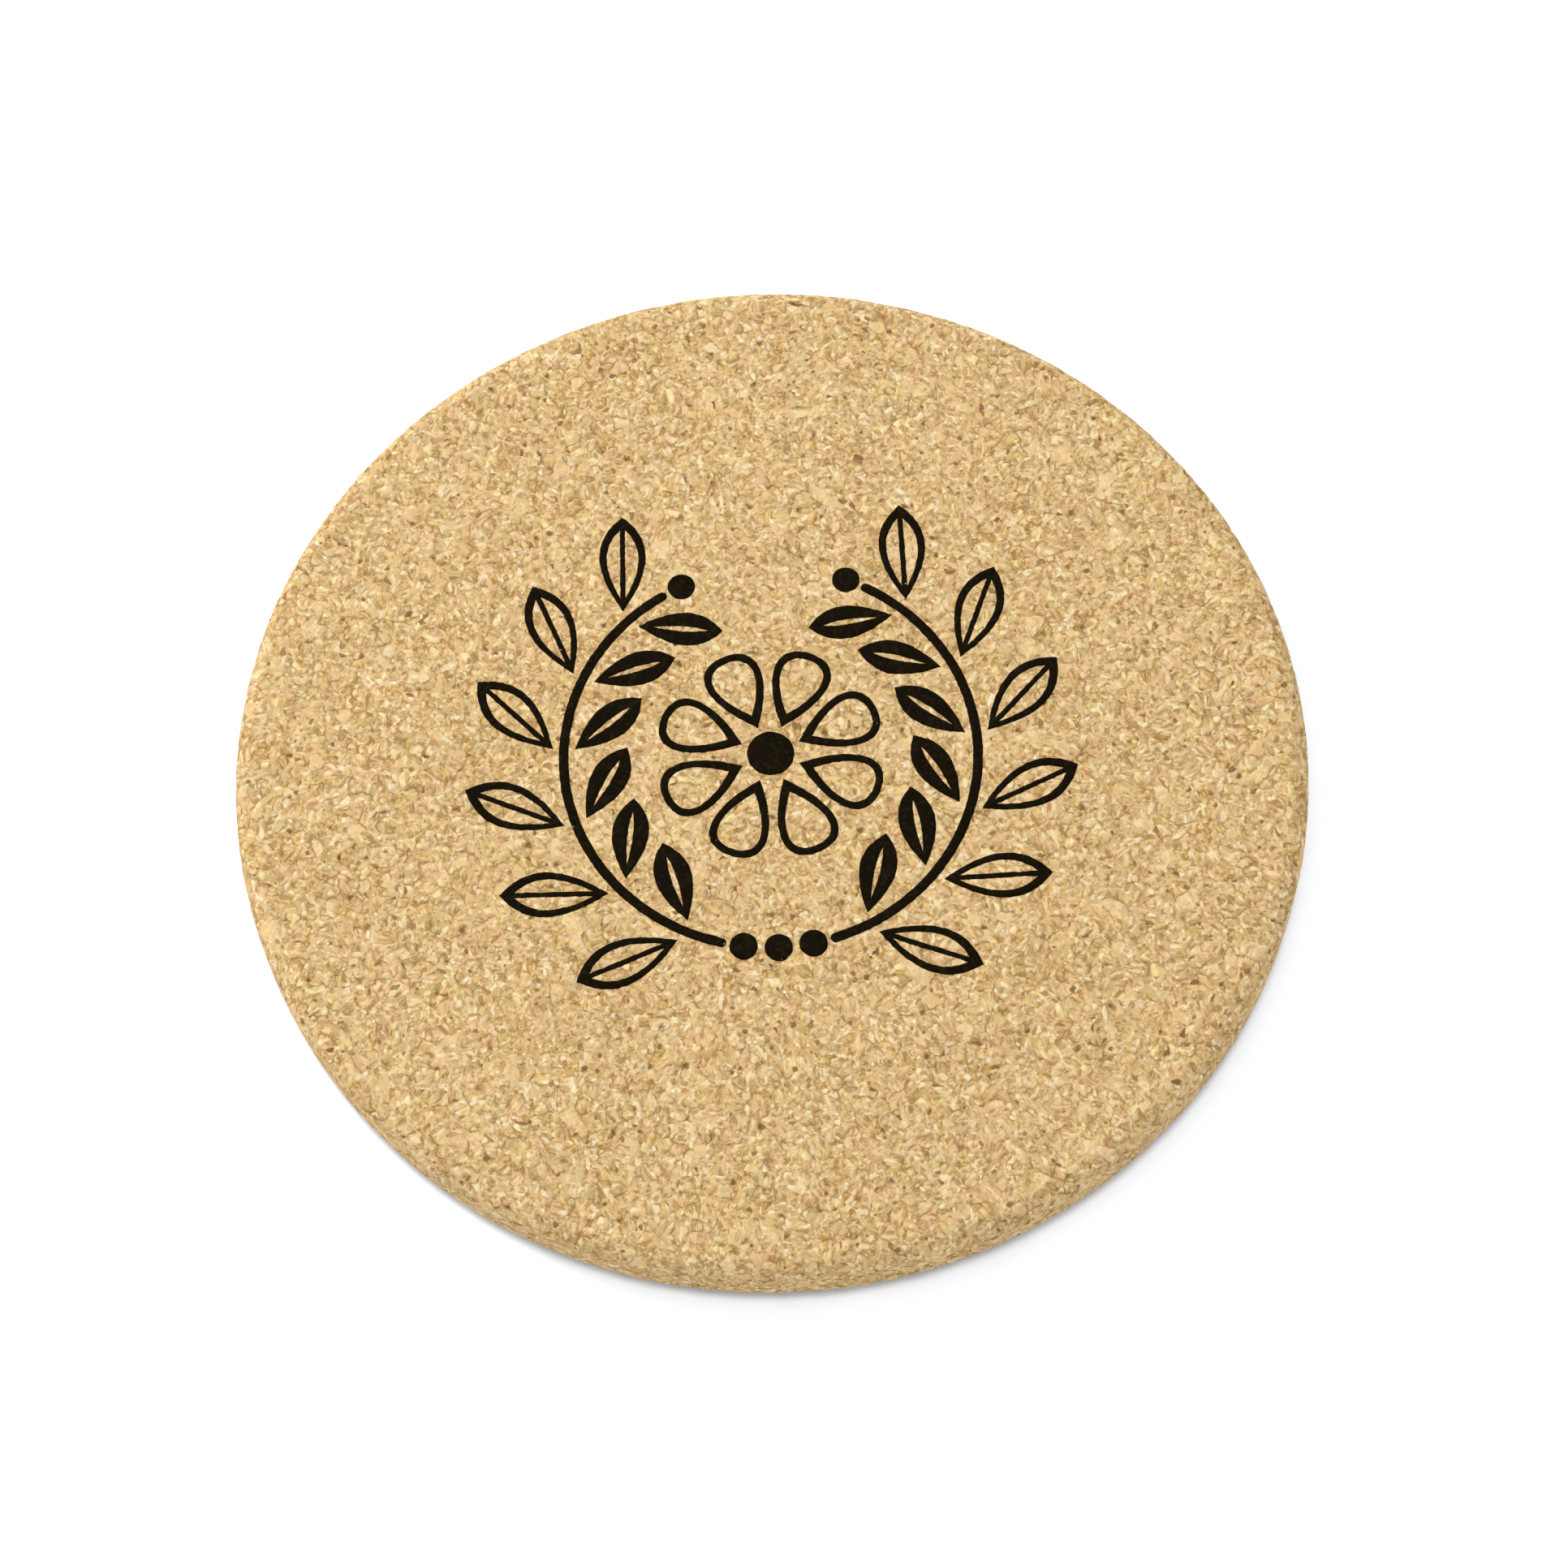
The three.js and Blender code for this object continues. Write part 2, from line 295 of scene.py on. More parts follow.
class Tree:
    """A shader or geometry node tree that is being filled."""

    def __init__(self, tree):
        self.tree = tree
        tree.nodes.clear()

    def node(self, kind, settings=None, inputs=None):
        """Adds a node: first its settings, then a value or a wire for each named or numbered socket."""
        made = self.tree.nodes.new(kind)
        for name, value in (settings or {}).items():
            if name == "stops":
                self.set_stops(made.color_ramp, value)
            else:
                setattr(made, name, value)
        for key, value in (inputs or {}).items():
            if isinstance(key, int):
                socket = made.inputs[key]
            else:
                socket = next(s for s in made.inputs if s.name == key and s.enabled)
            if isinstance(value, Wire):
                self.tree.links.new(value.socket, socket)
            else:
                socket.default_value = value
        shown = [s for s in made.outputs if s.enabled]
        return Wire(self, shown[0]) if shown else None

    @staticmethod
    def set_stops(ramp, stops):
        """Gives a colour ramp its stops, as (position, colour) in order."""
        while len(ramp.elements) < len(stops):
            ramp.elements.new(1)
        for element, (position, shade) in zip(ramp.elements, stops):
            element.position = position
            element.color = (*shade, 1)

    def vector(self, operation, first, second):
        """A Vector Math node on two vectors."""
        return self.node("ShaderNodeVectorMath", {"operation": operation}, {0: first, 1: second})

    def scaled(self, vector, factor):
        """A vector made longer or shorter."""
        return self.node("ShaderNodeVectorMath", {"operation": "SCALE"}, {0: vector, "Scale": factor})

    def channels(self, vector):
        """The three parts of a vector or of a colour."""
        apart = self.node("ShaderNodeSeparateXYZ", None, {"Vector": vector})
        return apart, apart.out("Y"), apart.out("Z")

    def centred(self, vector):
        """A colour of chances or noise as a vector round zero."""
        return self.vector("SUBTRACT", vector, (MIDDLE, MIDDLE, MIDDLE))

    def mixed(self, factor, first, second, blend="MIX"):
        """One colour laid over another."""
        settings = {"data_type": "RGBA", "blend_type": blend}
        inputs = {"Factor": factor, "A": opaque(first), "B": opaque(second)}
        return self.node("ShaderNodeMix", settings, inputs)

    def fade(self, value, low, high):
        """0 at the low end to 1 at the high end, with soft ends."""
        inputs = {"Value": value, "From Min": low, "From Max": high}
        return self.node("ShaderNodeMapRange", {"interpolation_type": "SMOOTHSTEP"}, inputs)

    def clouds(self, place, span, detail=1):
        """Smooth noise that comes and goes once in each span."""
        inputs = {"Vector": place, "Scale": 1 / span, "Detail": detail}
        return self.node("ShaderNodeTexNoise", {"noise_dimensions": "3D"}, inputs)

    def strayed(self, place, reach, span):
        """A place moved by smooth noise: up to about the reach, once in each span."""
        stray = self.centred(self.clouds(place, span).out("Color"))
        return self.vector("ADD", place, self.scaled(stray, 2 * reach))

    def cells(self, place, size, feature="F1", **more):
        """Scattered cells of about a size. A feature's other sockets are given by name."""
        inputs = {"Vector": place, "Scale": 1 / size, "Randomness": 1, **more}
        return self.node("ShaderNodeTexVoronoi", {"voronoi_dimensions": "3D", "feature": feature}, inputs)

    def seen(self):
        """1 for the camera's rays, also by way of gloss or glass."""
        path = self.node("ShaderNodeLightPath")
        return path + path.out("Is Glossy Ray") + path.out("Is Transmission Ray")


def opaque(shade):
    """A colour for a colour socket."""
    return shade if isinstance(shade, Wire) else (*shade, 1)


class Granules:
    """The chips, grooves and pits round a place: the same ones in the relief and in the colours."""

    def __init__(self, tree, place, cork):
        bent = tree.strayed(place, cork.bend, cork.bend_span)
        chip = tree.cells(bent, cork.chip_size)
        chance = chip.out("Color")
        self.chip_tone, self.chip_blush, self.chip_rank = tree.channels(chance)
        self.whole = self.chip_rank < cork.whole
        gap = tree.cells(bent, cork.chip_size, "DISTANCE_TO_EDGE") * cork.chip_size
        parted = tree.fade(tree.clouds(place, cork.groove_span), *OPEN_GROOVES)
        self.groove = (1 - tree.fade(gap, 0, cork.groove_width)) * parted

        # A cell's random colour, taken as one grey, is its chance of a wide pit
        hole = tree.cells(bent, cork.pit_spacing)
        hole_size = hole.out("Color") * cork.pit_size
        self.pit = 1 - tree.fade(hole * cork.pit_spacing, hole_size * cork.pit_floor, hole_size)

        # Each chip has a space of its own, turned at random and stretched, in which its slivers lie
        inputs = {
            "Vector": tree.vector("SUBTRACT", place, chip.out("Position")),
            "Axis": tree.centred(chance),
            "Angle": self.chip_tone * math.tau,
        }
        turned = tree.node("ShaderNodeVectorRotate", {"rotation_type": "AXIS_ANGLE"}, inputs)
        drawn = tree.vector("MULTIPLY", turned, (1, 1, 1 / cork.sliver_stretch))
        self.own = tree.vector("ADD", drawn, chance)

    def depth(self, cork):
        """How far the surface lies below its highest level."""
        return self.groove * cork.groove_depth + self.chip_rank * cork.level + self.pit * cork.pit_depth


class Slivers:
    """The slivers that most chips break into, which are finer than the relief."""

    def __init__(self, tree, grain, cork):
        frayed = tree.strayed(grain.own, cork.fray, cork.fray_span)
        blurred = tree.cells(frayed, cork.sliver_size, "SMOOTH_F1", Smoothness=cork.sliver_blur)
        self.tone, self.rank, self.hue = tree.channels(blurred.out("Color"))
        gap = tree.cells(frayed, cork.sliver_size, "DISTANCE_TO_EDGE") + grain.whole
        gap = gap * cork.sliver_size
        self.crown = tree.fade(gap, 0, cork.sliver_round)
        parted = tree.fade(tree.clouds(grain.own, cork.seam_span), *OPEN_SEAMS)
        self.seam = (1 - tree.fade(gap, 0, cork.seam_width)) * parted

        broken = 1 - grain.whole
        _, _, fate = tree.channels(tree.cells(frayed, cork.sliver_size).out("Color"))
        self.speck = tree.fade(tree.clouds(frayed, cork.speck_span), *DARK_SPECKS) * broken
        self.bark = (fate < cork.bark) * broken
        self.crumb = (fate > 1 - cork.crumbs) * broken


def relief_nodes(cork):
    """Geometry nodes that remember each point's place and sink it into the granules."""
    group = bpy.data.node_groups.new("cork_relief", "GeometryNodeTree")
    group.interface.new_socket("Geometry", in_out="INPUT", socket_type="NodeSocketGeometry")
    group.interface.new_socket("Geometry", in_out="OUTPUT", socket_type="NodeSocketGeometry")
    tree = Tree(group)
    place = tree.node("GeometryNodeInputPosition")
    sunk = tree.scaled(tree.node("GeometryNodeInputNormal"), 0 - Granules(tree, place, cork).depth(cork))
    settings = {"data_type": "FLOAT_VECTOR", "domain": "POINT"}
    inputs = {"Geometry": tree.node("NodeGroupInput"), "Name": PLACE, "Value": place}
    marked = tree.node("GeometryNodeStoreNamedAttribute", settings, inputs)
    relief = tree.node("GeometryNodeSetPosition", None, {"Geometry": marked, "Offset": sunk})
    tree.node("NodeGroupOutput", None, {"Geometry": relief})
    return group


def new_material(name):
    """A material and its empty node tree."""
    material = bpy.data.materials.new(name)
    material.use_nodes = True
    return material, Tree(material.node_tree)


def shaded_granules(tree, cork):
    """The granules and the slivers at the point that is being shaded."""
    place = tree.node("ShaderNodeAttribute", {"attribute_name": PLACE}).out("Vector")
    grain = Granules(tree, place, cork)
    return grain, Slivers(tree, grain, cork)


def add_surface(tree, shade, roughness, specular, height):
    """Ends a material's tree in one shader whose fine bumps have a height in metres."""
    surface = {
        "Base Color": shade,
        "Roughness": roughness,
        "Specular IOR Level": specular,
        "Normal": tree.node("ShaderNodeBump", None, {"Strength": 1, "Distance": 1, "Height": height}),
    }
    shader = tree.node("ShaderNodeBsdfPrincipled", None, surface)
    tree.node("ShaderNodeOutputMaterial", None, {"Surface": shader})


def cork_material(cork, finish):
    """Pressed cork: toned slivers with honey, pinkish and dun casts, dark crumbs and bark, and painted
    shade in the seams, specks, grooves and pits.
    """
    material, tree = new_material("pressed_cork")
    grain, sliver = shaded_granules(tree, cork)
    mottle = tree.clouds(grain.own, cork.mottle_size, detail=1.5) - MIDDLE

    lone = (
        finish.sliver_contrast * (sliver.tone - MIDDLE)
        + finish.flake_lift * tree.fade(sliver.tone, *PALE_FLAKES)
        + finish.mottle_contrast * mottle
    )
    tone = (
        finish.balance
        + (1 - finish.whole_calm * grain.whole) * lone
        + finish.chip_contrast * (grain.chip_tone - MIDDLE)
        + finish.whole_lift * grain.whole
    )
    tones = (finish.deep_tone, finish.low_tone, finish.main_tone, finish.high_tone, finish.pale_tone)
    stops = [(i / (len(tones) - 1), step) for i, step in enumerate(tones)]
    shade = tree.node("ShaderNodeValToRGB", {"stops": stops}, {"Fac": tone})

    shade = tree.mixed(tree.fade(sliver.hue, *HONEY_SLIVERS), shade, finish.honey_cast, "MULTIPLY")
    pink_chip = finish.chip_blush * tree.fade(grain.chip_blush, *PINK_CHIPS)
    pink_sliver = finish.sliver_blush * tree.fade(sliver.rank, *PINK_SLIVERS)
    layers = [
        (pink_chip + pink_sliver, finish.blush_tone),
        (finish.dun * tree.fade(sliver.rank, *DUN_SLIVERS), finish.dun_tone),
        # The seam, speck and groove layers are painted shade in the crevices
        (finish.seam * sliver.seam, finish.painted_crevice_shade),
        (finish.speck * sliver.speck, finish.painted_crevice_shade),
        (finish.groove * grain.groove, finish.painted_crevice_shade),
        ((finish.pale_crumb + finish.crumb_spread * sliver.rank) * sliver.crumb, finish.crumb_tone),
        (finish.bark * sliver.bark, finish.bark_tone),
        # Painted shade inside the pits
        (finish.pit * grain.pit, finish.painted_pit_shade),
    ]
    for strength, layer in layers:
        shade = tree.mixed(strength, shade, layer)

    roughness = finish.roughness + finish.roughness_spread * mottle
    crown = sliver.crown * (cork.low_crown + sliver.rank * cork.crown_spread)
    add_surface(tree, shade, roughness, finish.specular, crown + mottle * cork.mottle_height)
    return material


def ink_material(ink, cork):
    """Matt ink that lies a little thinner on some slivers and fibres."""
    material, tree = new_material(MATT_INK)
    grain, sliver = shaded_granules(tree, cork)
    fibre = tree.clouds(grain.own, ink.fibre_span, detail=2)
    thin = 0.5 * (tree.fade(sliver.tone, *THIN_ON_SLIVERS) + tree.fade(fibre, *THIN_ON_FIBRES))
    shade = tree.mixed(thin, ink.tone, ink.worn_tone)
    roughness = ink.roughness + ink.roughness_spread * fibre
    add_surface(tree, shade, roughness, ink.specular, sliver.crown * ink.crown + fibre * ink.fibre_height)
    return material


def floor_material(stage):
    """A pale floor that the camera sees as white, down to its shadow, with painted shade added under the
    rim where the disc lies close.
    """
    material, tree = new_material("pale_floor")
    lifted = [channel * stage.floor_lift for channel in stage.shade_tone]
    deepened = [channel * stage.contact_shade for channel in lifted]
    # Painted shade: for the camera, the floor is darkened where ambient occlusion finds the disc close
    # above it
    near = tree.node("ShaderNodeAmbientOcclusion", {"samples": 8}, {"Distance": stage.contact_reach})
    clear = tree.fade(near.out("AO"), *OPEN_FLOOR)
    matt = tree.node("ShaderNodeBsdfDiffuse", None, {"Color": opaque(stage.floor_tone)})
    deep = tree.node("ShaderNodeBsdfDiffuse", None, {"Color": opaque(deepened)})
    bright = tree.node("ShaderNodeBsdfDiffuse", None, {"Color": opaque(lifted)})
    shown = tree.node("ShaderNodeMixShader", None, {"Fac": clear, 1: deep, 2: bright})
    surface = tree.node("ShaderNodeMixShader", None, {"Fac": tree.seen(), 1: matt, 2: shown})
    tree.node("ShaderNodeOutputMaterial", None, {"Surface": surface})
    return material


class DiscShape:
    """The disc's measures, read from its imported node: the rims are quarter rounds."""

    def __init__(self):
        low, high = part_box(CORK_NODE)
        self.radius = (high.x - low.x) / 2
        self.height = high.z
        corners = [v.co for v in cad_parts[CORK_NODE].data.vertices]
        self.top_flat = max(math.hypot(c.x, c.y) for c in corners if c.z > high.z - SAME)
        self.base_flat = max(math.hypot(c.x, c.y) for c in corners if c.z < low.z + SAME)
        self.top_round = self.radius - self.top_flat
        self.base_round = self.radius - self.base_flat
        self.wall = self.height - self.top_round - self.base_round

    def rim(self, step):
        """(radius, height) of each ring of the rim, from the top face's edge down to the underside's."""
        top_count = math.ceil(self.top_round * QUARTER / step)
        base_count = math.ceil(self.base_round * QUARTER / step)
        wall_count = math.ceil(self.wall / step)
        rings = []
        for i in range(1, top_count + 1):
            turn = QUARTER * i / top_count
            rings.append((
                self.top_flat + self.top_round * math.sin(turn),
                self.height - self.top_round * (1 - math.cos(turn)),
            ))
        for i in range(1, wall_count):
            rings.append((self.radius, self.height - self.top_round - self.wall * i / wall_count))
        for i in range(base_count + 1):
            turn = QUARTER * i / base_count
            rings.append((
                self.base_flat + self.base_round * math.cos(turn),
                self.base_round * (1 - math.sin(turn)),
            ))
        return rings

    def unrolled(self, place):
        """How far a point lies from the middle of the top face, along the skin."""
        reach = math.hypot(place.x, place.y)
        if place.z > self.height - self.top_round:
            if reach < self.top_flat:
                return reach
            turn = math.atan2(reach - self.top_flat, place.z - self.height + self.top_round)
            return self.top_flat + self.top_round * turn
        if place.z > self.base_round:
            return self.top_flat + self.top_round * QUARTER + self.height - self.top_round - place.z
        turn = math.atan2(self.base_round - place.z, reach - self.base_flat)
        return self.top_flat + self.top_round * QUARTER + self.wall + self.base_round * turn


def round_sheet(radius, count):
    """Flat points of a square net pulled out to a circle, count cells wide."""
    line = np.linspace(-1, 1, count + 1)
    across, along = np.meshgrid(line, line, indexing="ij")
    wide = np.abs(across) > np.abs(along)
    reach = np.where(wide, across, along)
    lesser = np.where(wide, along, across)
    slant = np.divide(lesser, reach, out=np.zeros_like(reach), where=reach != 0) * math.pi / 4
    turn = np.where(wide, slant, QUARTER - slant)
    return np.stack([radius * reach * np.cos(turn), radius * reach * np.sin(turn)], axis=-1).reshape(-1, 2)


def raised(flat, height):
    """Flat points lifted to one height."""
    return np.column_stack([flat, np.full(len(flat), height)])


def band(upper, lower):
    """Quads between two rings of numbered points."""
    return np.column_stack([upper, lower, np.roll(lower, -1), np.roll(upper, -1)])


def cork_skin(shape, step):
    """Points and quads of the disc's smooth skin: the top face, the rings of the rim and the underside."""
    count = math.ceil(QUARTER * shape.radius / step)
    net = np.arange((count + 1) ** 2).reshape(count + 1, count + 1)
    cells = np.stack([net[:-1, :-1], net[1:, :-1], net[1:, 1:], net[:-1, 1:]], axis=-1).reshape(-1, 4)
    border = np.concatenate([net[:-1, 0], net[-1, :-1], net[:0:-1, -1], net[0, :0:-1]])

    top = round_sheet(shape.top_flat, count)
    outward = top[border] / shape.top_flat
    points = [raised(top, shape.height)]
    quads = [cells]
    upper = border
    total = len(top)
    for reach, height in shape.rim(step)[:-1]:
        lower = np.arange(total, total + len(border))
        points.append(raised(outward * reach, height))
        quads.append(band(upper, lower))
        upper = lower
        total += len(border)
    points.append(raised(round_sheet(shape.base_flat, count), 0))
    quads.append(cells[:, ::-1] + total)
    quads.append(band(upper, border + total))
    return np.concatenate(points), np.concatenate(quads)


def add_object(name, data):
    """Puts a mesh, a lamp or a camera into the scene."""
    made = bpy.data.objects.new(name, data)
    bpy.context.scene.collection.objects.link(made)
    return made


def add_piece(name, mesh, material, node):
    """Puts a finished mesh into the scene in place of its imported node."""
    mesh.materials.clear()
    mesh.materials.append(material)
    mesh.shade_smooth()
    piece = add_object(name, mesh)
    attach(piece, BODY)
    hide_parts(node)


def settled(name, mesh, modifiers):
    """A mesh with modifiers applied, given as (type, settings) in order."""
    blank = add_object(name, mesh)
    for kind, settings in modifiers:
        modifier = blank.modifiers.new(kind.lower(), kind)
        for key, value in settings.items():
            setattr(modifier, key, value)
    graph = bpy.context.evaluated_depsgraph_get()
    done = bpy.data.meshes.new_from_object(blank.evaluated_get(graph), depsgraph=graph)
    bpy.data.objects.remove(blank)
    done.name = name
    return done


def lay_out_cork(mesh, shape):
    """The cork's bake map: the top face with the rim round it, and a smaller disc for the underside."""
    top_reach = 0.37  # of the map's width, from the middle of the top face to the underside's edge
    base_reach = 0.21  # of the map's width, from the middle of the underside to its edge
    margin = 0.005
    skin = shape.unrolled(Vector((shape.base_flat, 0, 0)))
    places = [Vector(item.vector) for item in mesh.attributes[PLACE].data]
    top_map = []
    for place in places:
        reach = shape.unrolled(place) / skin * top_reach
        flat = Vector((place.x, place.y)).normalized() * reach
        top_map.append(flat + Vector((top_reach + margin, top_reach + margin)))
    corner = 1 - base_reach - margin
    layer = mesh.uv_layers.new(name=BAKE_MAP)
    for face in mesh.polygons:
        middle = sum((places[v] for v in face.vertices), Vector()) / len(face.vertices)
        under = middle.z < SAME and math.hypot(middle.x, middle.y) < shape.base_flat
        for loop in face.loop_indices:
            vertex = mesh.loops[loop].vertex_index
            place = places[vertex]
            if under:
                layer.data[loop].uv = (
                    corner - place.x / shape.base_flat * base_reach,
                    corner + place.y / shape.base_flat * base_reach,
                )
            else:
                layer.data[loop].uv = top_map[vertex]


class PressCork(bpy.types.Operator):
    """Press the cork disc: its skin, its relief and its grain"""

    bl_idname = "coaster.press_cork"
    bl_label = "Press the cork disc"

    def execute(self, context):
        cork = context.scene.coaster_cork
        shape = DiscShape()
        points, quads = cork_skin(shape, cork.skin_step)
        blank = bpy.data.meshes.new("cork_blank")
        blank.from_pydata(points, [], quads)
        blank.shade_smooth()
        ratio = min(1, cork.most_triangles / (2 * len(quads)))
        modifiers = [("NODES", {"node_group": relief_nodes(cork)}), ("DECIMATE", {"ratio": ratio})]
        mesh = settled(DISC, blank, modifiers)
        lay_out_cork(mesh, shape)
        material = cork_material(cork, context.scene.coaster_finish)
        add_piece(DISC, mesh, material, CORK_NODE)
        return {"FINISHED"}


def outline_loops(node):
    """The closed outlines of a film's upper face, each a list of flat corners in millimetres."""
    solid = bmesh.new()
    solid.from_mesh(node.data)
    bmesh.ops.remove_doubles(solid, verts=solid.verts, dist=SAME)
    top = max(v.co.z for v in solid.verts)
    beside = {}
    for edge in solid.edges:
        upper = [face for face in edge.link_faces if face.normal.z > UPWARD]
        if len(upper) == 1 and all(v.co.z > top - SAME for v in edge.verts):
            first, second = edge.verts
            beside.setdefault(first, []).append(second)
            beside.setdefault(second, []).append(first)
    loops = []
    while beside:
        start = next(iter(beside))
        loop = [start]
        here, following = start, beside[start][0]
        while following is not start:
            loop.append(following)
            here, following = following, next(v for v in beside[following] if v is not here)
        for vertex in loop:
            del beside[vertex]
        loops.append([Vector((v.co.x, v.co.y)) / MM for v in loop])
    solid.free()
    return loops


def on_curve(start, leave, end, arrive, t):
    """A point of the cubic between two corners that has a tangent at each of them."""
    return (
        start * (2 * t**3 - 3 * t**2 + 1)
        + leave * (t**3 - 2 * t**2 + t)
        + end * (3 * t**2 - 2 * t**3)
        + arrive * (t**3 - t**2)
    )


def drawn_edge(corners, step, wander, span):
    """Points along a loop: curved through gentle bends, with a small stray, in millimetres."""
    count = len(corners)
    tangents = []
    for i, corner in enumerate(corners):
        before = (corner - corners[i - 1]).normalized()
        after = (corners[(i + 1) % count] - corner).normalized()
        if before.angle(after) < GENTLE:
            both = (before + after).normalized()
            tangents.append((both, both))
        else:
            tangents.append((before, after))
    edge = []
    for i, start in enumerate(corners):
        end = corners[(i + 1) % count]
        reach = (end - start).length
        leave = tangents[i][1] * reach
        arrive = tangents[(i + 1) % count][0] * reach
        pieces = max(1, round(reach / step))
        for k in range(pieces):
            point = on_curve(start, leave, end, arrive, k / pieces)
            here = Vector((point.x, point.y, 0)) / span
            stray = noise.noise_vector(here) * wander
            edge.append(point + Vector((stray.x, stray.y)))
    return edge


def inside(points, loops):
    """Which points lie inside an odd number of loops."""
    odd = np.zeros(len(points), bool)
    x, y = points[:, 0, None], points[:, 1, None]
    for loop in loops:
        start = np.array(loop)
        end = np.roll(start, -1, axis=0)
        rises = (start[:, 1] > y) != (end[:, 1] > y)
        drop = np.where(end[:, 1] == start[:, 1], 1, end[:, 1] - start[:, 1])
        cross = start[:, 0] + (y - start[:, 1]) / drop * (end[:, 0] - start[:, 0])
        odd ^= (rises & (x < cross)).sum(axis=1) % 2 == 1
    return odd


def fill_points(loops, step):
    """An even net of points inside the loops, clear of their edges."""
    edge = np.concatenate([np.array(loop) for loop in loops])
    low, high = edge.min(axis=0), edge.max(axis=0)
    row = step * math.sqrt(3) / 2
    net = [
        (x + (step / 2 if k % 2 else 0), y)
        for k, y in enumerate(np.arange(low[1], high[1], row))
        for x in np.arange(low[0], high[0], step)
    ]
    points = np.array(net)
    points = points[inside(points, loops)]
    if not len(points):
        return points.reshape(0, 2)
    clear = np.linalg.norm(points[:, None] - edge[None], axis=2).min(axis=1)
    return points[clear > step / 2]


def film_triangles(loops, step):
    """Flat points and anticlockwise triangles that fill the loops."""
    points = []
    edges = []
    for loop in loops:
        first = len(points)
        points += loop
        edges += [(first + i, first + (i + 1) % len(loop)) for i in range(len(loop))]
    points += [Vector(p) for p in fill_points(loops, step)]
    every_triangle = 0  # the output type that also keeps what lies outside the loops
    nearness = 1e-5  # millimetres: points closer than this are one point
    corners, _, faces, *_ = geometry.delaunay_2d_cdt(points, edges, [], every_triangle, nearness)
    corners = np.array(corners)
    faces = np.array(faces)
    faces = faces[inside(corners[faces].mean(axis=1), loops)]
    first, second, third = (corners[faces[:, i]] for i in range(3))
    turn = np.cross(second - first, third - first)
    faces[turn < 0] = faces[turn < 0][:, ::-1]
    used, renumbered = np.unique(faces, return_inverse=True)
    return corners[used], renumbered.reshape(-1, 3)


def open_sides(faces):
    """The sides that only one triangle has, each in that triangle's direction."""
    sides = np.concatenate([faces[:, [0, 1]], faces[:, [1, 2]], faces[:, [2, 0]]])
    owned = {tuple(side) for side in sides}
    return [(a, b) for a, b in owned if (b, a) not in owned]


def film_mesh(name, node, ink, ground, height):
    """A printed patch: a skin over the granules under it, and a closed underside soaked into them."""
    loops = [
        drawn_edge(loop, ink.edge_step / MM, ink.edge_wander / MM, ink.wander_span / MM)
        for loop in outline_loops(node)
    ]
    flat, faces = film_triangles(loops, ink.fill_step / MM)
    flat = flat * MM
    rim = open_sides(faces)
    on_rim = {a for a, _ in rim}
    count = len(flat)
    down = Vector((0, 0, -1))
    upper, lower = [], []
    for i, (x, y) in enumerate(flat):
        above = Vector((x, y, height + MM))
        hit = ground.ray_cast(above, down)[0]
        if hit is None:
            raise RuntimeError(f"{name} reaches past the cork")
        upper.append((x, y, hit.z + (ink.edge_coat if i in on_rim else ink.coat)))
        lower.append((x, y, hit.z - ink.soak))
    skin = [tuple(face) for face in faces]
    under = [tuple(face[::-1] + count) for face in faces]
    walls = [(b, a, a + count, b + count) for a, b in rim]
    mesh = bpy.data.meshes.new(name)
    mesh.from_pydata(upper + lower, [], skin + under + walls)
    place = mesh.attributes.new(PLACE, "FLOAT_VECTOR", "POINT")
    rest = raised(np.tile(flat, (2, 1)), height)
    place.data.foreach_set("vector", rest.ravel().astype(np.float32))
    return mesh


class PrintPatches:
    """Prints every patch whose node's name starts with one of the operator's words."""

    words = ()

    def execute(self, context):
        scene = context.scene
        ink = scene.coaster_ink
        ground = BVHTree.FromObject(scene.objects[DISC], context.evaluated_depsgraph_get())
        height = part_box(CORK_NODE)[1].z
        material = bpy.data.materials.get(MATT_INK) or ink_material(ink, scene.coaster_cork)
        noise.seed_set(ink.wander_seed)
        nodes = [n for n in sorted(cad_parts) if n.startswith(self.words)]
        if not nodes:
            raise RuntimeError(f"the frame has no node named like {self.words}")
        for node in nodes:
            name = node.replace("ink_", "printed_")
            mesh = film_mesh(name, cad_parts[node], ink, ground, height)
            add_piece(name, mesh, material, node)
        return {"FINISHED"}


class PrintBlossom(PrintPatches, bpy.types.Operator):
    """Print the blossom's heart and petals"""

    bl_idname = "coaster.print_blossom"
    bl_label = "Print the blossom"
    words = ("ink_blossom", "ink_petal")


class PrintStems(PrintPatches, bpy.types.Operator):
    """Print the two stems of the wreath"""

    bl_idname = "coaster.print_stems"
    bl_label = "Print the stems"
    words = ("ink_stem",)


class PrintLeaves(PrintPatches, bpy.types.Operator):
    """Print the outlined outer leaves and the solid inner leaves"""

    bl_idname = "coaster.print_leaves"
    bl_label = "Print the leaves"
    words = ("ink_outer_leaf", "ink_inner_leaf")


class PrintBerries(PrintPatches, bpy.types.Operator):
    """Print the berries at the stems' tips and between their feet"""

    bl_idname = "coaster.print_berries"
    bl_label = "Print the berries"
    words = ("ink_tip_berry", "ink_knot_berry")


def add_floor(stage):
    """A square floor under the disc."""
    half = stage.floor_size / 2
    corners = [(-half, -half, 0), (half, -half, 0), (half, half, 0), (-half, half, 0)]
    mesh = bpy.data.meshes.new("floor")
    mesh.from_pydata(corners, [], [(0, 1, 2, 3)])
    mesh.materials.append(floor_material(stage))
    add_object("floor", mesh)


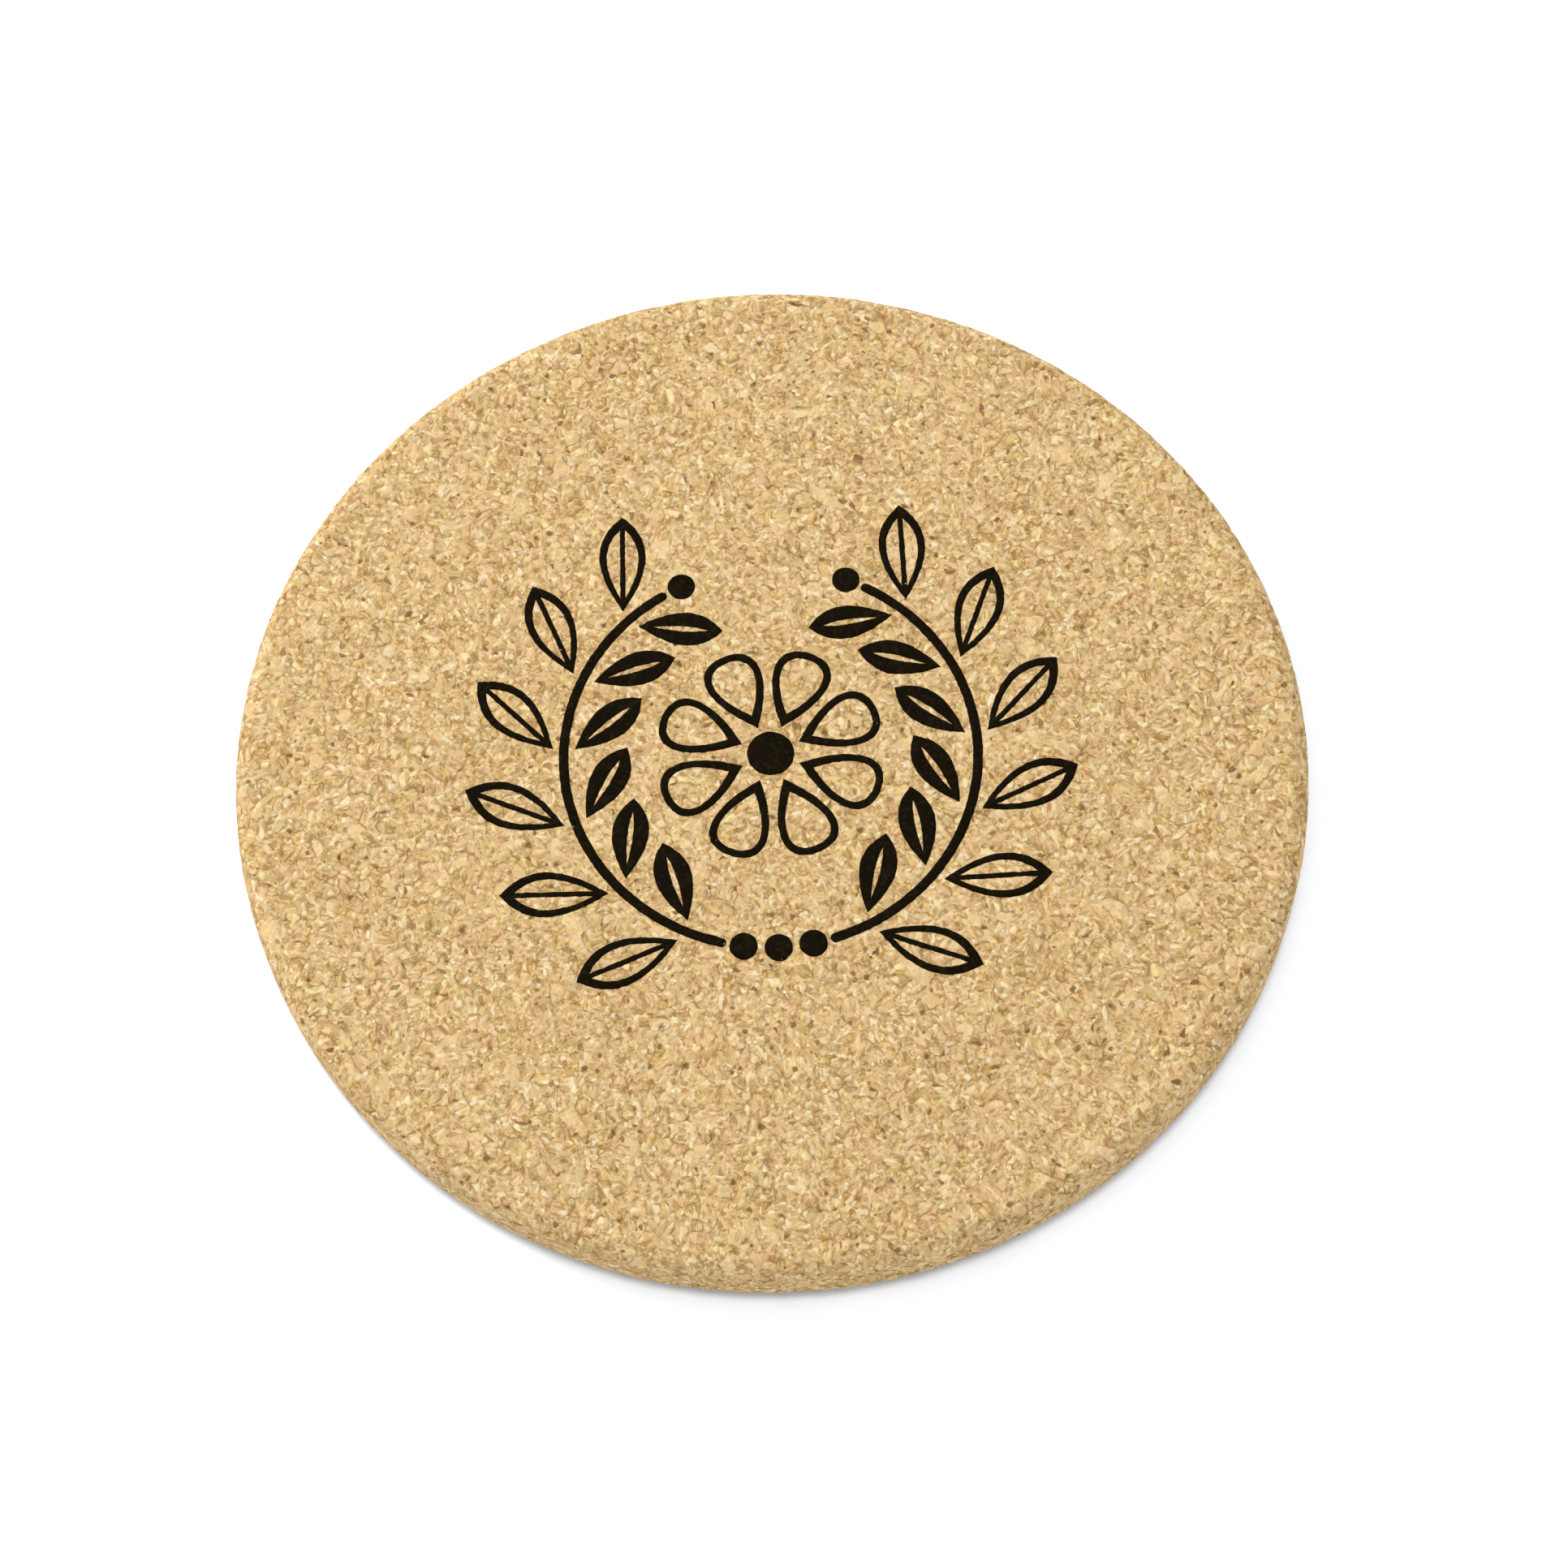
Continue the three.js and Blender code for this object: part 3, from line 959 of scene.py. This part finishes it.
def add_sky(stage):
    """Even light from all round, which the camera sees as white."""
    world = bpy.data.worlds.new("studio")
    world.use_nodes = True
    tree = Tree(world.node_tree)
    light = tree.node("ShaderNodeBackground", None, {"Color": (1, 1, 1, 1), "Strength": stage.sky})
    white = tree.node("ShaderNodeBackground", None, {"Color": (1, 1, 1, 1), "Strength": 1})
    surface = tree.node("ShaderNodeMixShader", None, {"Fac": tree.seen(), 1: light, 2: white})
    tree.node("ShaderNodeOutputWorld", None, {"Surface": surface})
    bpy.context.scene.world = world


def facing(location, target):
    """A matrix at a location whose -Z looks at a target."""
    look = (target - location).to_track_quat("-Z", "Y")
    return Matrix.Translation(location) @ look.to_matrix().to_4x4()


def add_key_light(stage, middle):
    """A square lamp panel that faces the disc."""
    lamp = bpy.data.lights.new("key", "AREA")
    lamp.energy = stage.key_power
    lamp.size = stage.key_size
    level = math.cos(stage.key_rise)
    rise = math.sin(stage.key_rise)
    way = Vector((level * math.cos(stage.key_turn), level * math.sin(stage.key_turn), rise))
    add_object("key", lamp).matrix_world = facing(middle + way * stage.key_distance, middle)


def add_camera(stage, middle):
    """The camera, in front of the disc and above it."""
    data = bpy.data.cameras.new("camera")
    data.lens = stage.lens
    data.clip_start = stage.nearest
    target = middle + Vector(stage.aim)
    back = Vector((0, -math.cos(stage.elevation), math.sin(stage.elevation)))
    turned = Matrix.Rotation(stage.roll, 4, "Z")
    camera = add_object("camera", data)
    camera.matrix_world = facing(target + back * stage.distance, target) @ turned
    bpy.context.scene.camera = camera


class SetStage(bpy.types.Operator):
    """Set the stage: floor, sky, key light and camera"""

    bl_idname = "coaster.set_stage"
    bl_label = "Set the stage"

    def execute(self, context):
        stage = context.scene.coaster_stage
        middle = Vector((0, 0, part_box(CORK_NODE)[1].z / 2))
        add_floor(stage)
        add_sky(stage)
        add_key_light(stage, middle)
        add_camera(stage, middle)
        context.scene.view_settings.view_transform = "Standard"
        return {"FINISHED"}


STEPS = (SetStage, PressCork, PrintBlossom, PrintStems, PrintLeaves, PrintBerries)
SETTINGS = {
    "coaster_cork": CorkSettings,
    "coaster_finish": FinishSettings,
    "coaster_ink": InkSettings,
    "coaster_stage": StageSettings,
}


class CoasterPanel(bpy.types.Panel):
    """Steps and settings of the cork coaster"""

    bl_idname = "VIEW3D_PT_coaster"
    bl_label = "Cork coaster"
    bl_space_type = "VIEW_3D"
    bl_region_type = "UI"
    bl_category = "Coaster"

    def draw(self, context):
        for step in STEPS:
            self.layout.operator(step.bl_idname)
        for name, settings in SETTINGS.items():
            box = self.layout.box()
            for prop in settings.__annotations__:
                box.prop(getattr(context.scene, name), prop)


def register():
    for name, settings in SETTINGS.items():
        bpy.utils.register_class(settings)
        setattr(bpy.types.Scene, name, PointerProperty(type=settings))
    for item in (*STEPS, CoasterPanel):
        bpy.utils.register_class(item)


def unregister():
    for item in (CoasterPanel, *reversed(STEPS)):
        bpy.utils.unregister_class(item)
    for name, settings in SETTINGS.items():
        delattr(bpy.types.Scene, name)
        bpy.utils.unregister_class(settings)


def main():
    """Builds the coaster."""
    register()
    for step in STEPS:
        group, name = step.bl_idname.split(".")
        getattr(getattr(bpy.ops, group), name)()


if __name__ == "__main__":
    main()
